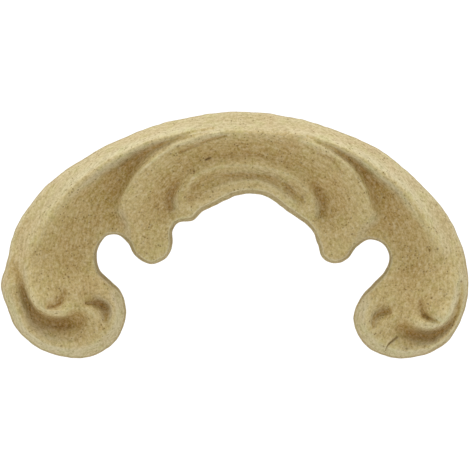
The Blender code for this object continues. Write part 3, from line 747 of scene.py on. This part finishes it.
def pulp_material():
    """Pressed wood pulp: pale straw, mottled, with dark fibres and specks; painted shade darkens its hollows,
    creases, pits and steep walls, and painted sheen and highlight pale its outer slopes, crests and ridges.
    """
    material = bpy.data.materials.new("wood_pulp")
    material.use_nodes = True
    tree = material.node_tree
    shader = tree.nodes["Principled BSDF"]
    place = node(tree, "ShaderNodeTexCoord").outputs["Object"]

    noises = {name: noise_value(tree, name, place) for name in NOISES if name != "fibre"}
    noises["fibre"] = noise_value(tree, "fibre", along_arch(tree, place))

    # Painted sheen: the outer slopes near the silhouette are paler, as if light catches them.
    bevel_sheen = mapped(tree, attribute(tree, "slope"), *BEVEL_SHEEN_RANGE)
    colour = tinted(tree, reckoned(tree, "MULTIPLY", bevel_sheen, attribute(tree, "sheen_rim")), PULP, BEVEL_SHEEN)
    # Painted highlight on crests and ridges, and painted shade on steep walls, in hollows and in creases.
    for name, span, share, tint, blend in SHAPE_SHADE_AND_HIGHLIGHT:
        colour = tinted(tree, mapped(tree, attribute(tree, name), *span, 0, share), colour, tint, blend)
    for name, span, share, tint, blend in NOISE_TINTS:
        colour = tinted(tree, mapped(tree, noises[name], *span, 0, share), colour, tint, blend)
    cells = node(tree, "ShaderNodeTexVoronoi", inputs={"Vector": place, "Scale": SPECK_CELLS / MM})
    speck = mapped(tree, cells.outputs["Distance"], *SPECK_RANGE)
    allowed = mapped(tree, noises["scatter"], *SCATTER_RANGE, 0, SPECK_SHARE)
    colour = tinted(tree, reckoned(tree, "MULTIPLY", speck, allowed), colour, SPECK_AND_PIT_SHADE)
    # Painted shade in pits and cracks: the deeper, the darker.
    colour = tinted(tree, mapped(tree, attribute(tree, "pit"), *PIT_SHADE_RANGE, 0, PIT_SHADE_SHARE), colour, SPECK_AND_PIT_SHADE)
    tree.links.new(colour, shader.inputs["Base Color"])

    tree.links.new(mapped(tree, noises["mottle"], *MOTTLE_RANGE, *ROUGHNESS), shader.inputs["Roughness"])
    shader.inputs["Specular IOR Level"].default_value = GLOSS
    coarse = node(tree, "ShaderNodeBump", inputs={
        "Height": noises["mottle"], "Strength": BUMP_STRENGTH, "Distance": COARSE_BUMP * MM})
    fine = node(tree, "ShaderNodeBump", inputs={
        "Height": noises["grain"], "Strength": BUMP_STRENGTH, "Distance": FINE_BUMP * MM,
        "Normal": coarse.outputs["Normal"]})
    tree.links.new(fine.outputs["Normal"], shader.inputs["Normal"])
    return material


def applique():
    """The piece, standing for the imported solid."""
    mesh = fine_mesh()
    mesh.materials.append(pulp_material())
    piece = bpy.data.objects.new("applique_pulp", mesh)
    bpy.context.scene.collection.objects.link(piece)
    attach(piece, "root")
    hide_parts("applique")


def stage():
    """A pale floor below the piece."""
    material = bpy.data.materials.new("floor_white")
    material.use_nodes = True
    shader = material.node_tree.nodes["Principled BSDF"]
    shader.inputs["Base Color"].default_value = FLOOR_COLOUR
    shader.inputs["Roughness"].default_value = FLOOR_ROUGHNESS
    bpy.ops.mesh.primitive_plane_add(size=FLOOR_SIDE, location=(0, 0, FLOOR_HEIGHT))
    floor = bpy.context.object
    floor.name = "floor"
    floor.data.materials.append(material)


def lighting():
    """A soft white surround: strongest from above, in the plane of the piece, and weak from the front."""
    world = bpy.data.worlds.new("studio")
    bpy.context.scene.world = world
    world.use_nodes = True
    tree = world.node_tree
    background = tree.nodes["Background"]
    direction = node(tree, "ShaderNodeTexCoord").outputs["Generated"]
    x, y, z = node(tree, "ShaderNodeSeparateXYZ", inputs={"Vector": direction}).outputs
    off_plane = reckoned(tree, "MULTIPLY", y, y)
    ring = reckoned(tree, "POWER", reckoned(tree, "SUBTRACT", 1.0, off_plane), RING_SHARPNESS)
    level = SURROUND_LIGHT["all round"]
    sides = reckoned(tree, "MULTIPLY_ADD", z, level * SURROUND_TILT, level)
    for name, value, sign in (("top", z, 1), ("left", x, -1), ("right", x, 1)):
        towards = reckoned(tree, "MULTIPLY", value, sign * SURROUND_LIGHT[name])
        sides = reckoned(tree, "MULTIPLY_ADD", reckoned(tree, "MAXIMUM", towards, 0.0), ring, sides)
    behind = reckoned(tree, "MAXIMUM", reckoned(tree, "MULTIPLY", y, SURROUND_LIGHT["behind"]), 0.0)
    front = reckoned(tree, "MULTIPLY", off_plane, reckoned(tree, "LESS_THAN", y, 0.0))
    around = reckoned(tree, "ADD", sides, behind)
    total = reckoned(tree, "MULTIPLY_ADD", front, SURROUND_LIGHT["front"], around)
    seen = node(tree, "ShaderNodeLightPath").outputs["Is Camera Ray"]
    strength = node(tree, "ShaderNodeMix", data_type="FLOAT")
    share, _, unseen_level, seen_level = strength.inputs[:4]
    for socket, value in ((share, seen), (unseen_level, total), (seen_level, SURROUND_SEEN)):
        feed(tree, socket, value)
    background.inputs["Color"].default_value = WHITE
    tree.links.new(strength.outputs[0], background.inputs["Strength"])


def camera():
    """Straight in front, far enough off to show the piece almost without perspective."""
    data = bpy.data.cameras.new("camera")
    data.sensor_width = SENSOR_WIDTH
    data.lens = data.sensor_width * CAMERA_DISTANCE / (IMAGE_SIDE * PIXEL * MM)
    data.clip_end = CAMERA_REACH
    view = bpy.data.objects.new("camera", data)
    middle = from_pixel((IMAGE_SIDE / 2, IMAGE_SIDE / 2))
    view.location = (middle[0] * MM, -CAMERA_DISTANCE - FOCUS_HEIGHT * MM, middle[1] * MM)
    view.rotation_euler = (math.radians(90), 0, 0)
    bpy.context.scene.collection.objects.link(view)
    bpy.context.scene.camera = view


applique()
stage()
lighting()
camera()
bpy.context.scene.view_settings.view_transform = "Standard"
